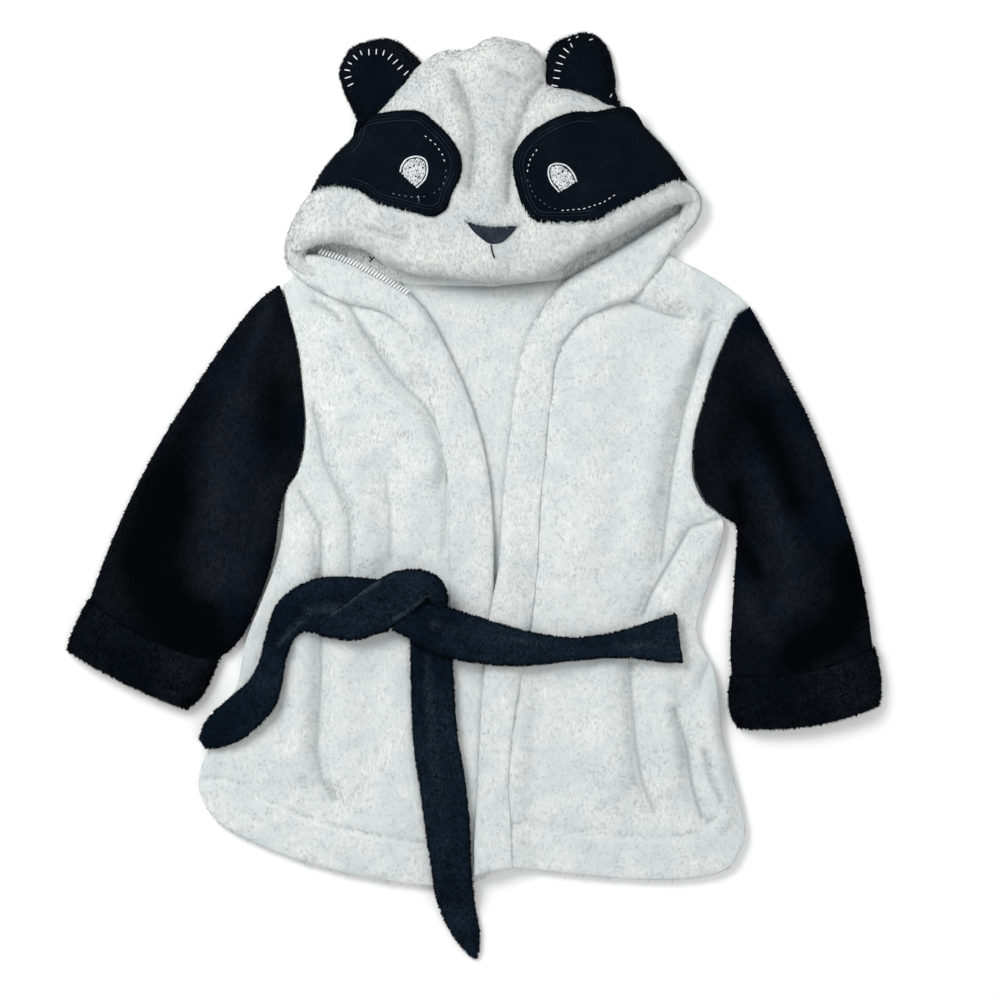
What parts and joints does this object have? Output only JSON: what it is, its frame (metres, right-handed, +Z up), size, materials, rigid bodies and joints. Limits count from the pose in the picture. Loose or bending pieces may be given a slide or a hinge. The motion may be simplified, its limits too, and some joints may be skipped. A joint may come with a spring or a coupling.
{
  "type": "hooded bathrobe",
  "caption": "Toddler's plush hooded bathrobe with a panda face, black sleeves and a tie belt, laid flat.",
  "frame": {"origin": "on the floor under the middle of the laid robe's outline", "axes": "+X across to the viewer's right, +Y from hem to hood, +Z up from the floor"},
  "size_m": [0.5712, 0.6495, 0.0316],
  "materials": {
    "white_fleece": "white coral fleece with a short brushed pile",
    "black_plush": "blue-black plush with a short dense pile",
    "black_velour": "blue-black velour, smooth and short",
    "silver_thread": "satin embroidery in pale silver thread",
    "slate_felt": "dark slate felt"
  },
  "bodies": {
    "root": {"back_panel": "white_fleece", "front_left": "white_fleece", "front_right": "white_fleece", "front_band_left": "white_fleece", "front_band_right": "white_fleece", "hood_back": "white_fleece", "hood_face": "white_fleece", "ear_left": "black_plush", "ear_right": "black_plush", "ear_inner_left": "black_velour", "ear_inner_right": "black_velour", "eye_patch_left": "black_velour", "eye_patch_right": "black_velour", "eye_glint_left": "silver_thread", "eye_glint_right": "silver_thread", "nose": "slate_felt", "sleeve_left": "black_plush", "sleeve_right": "black_plush", "cuff_left": "black_plush", "cuff_right": "black_plush", "belt_left": "black_plush", "belt_right": "black_plush", "belt_tail": "black_plush", "belt_knot": "black_plush"}
  },
  "joints": []
}
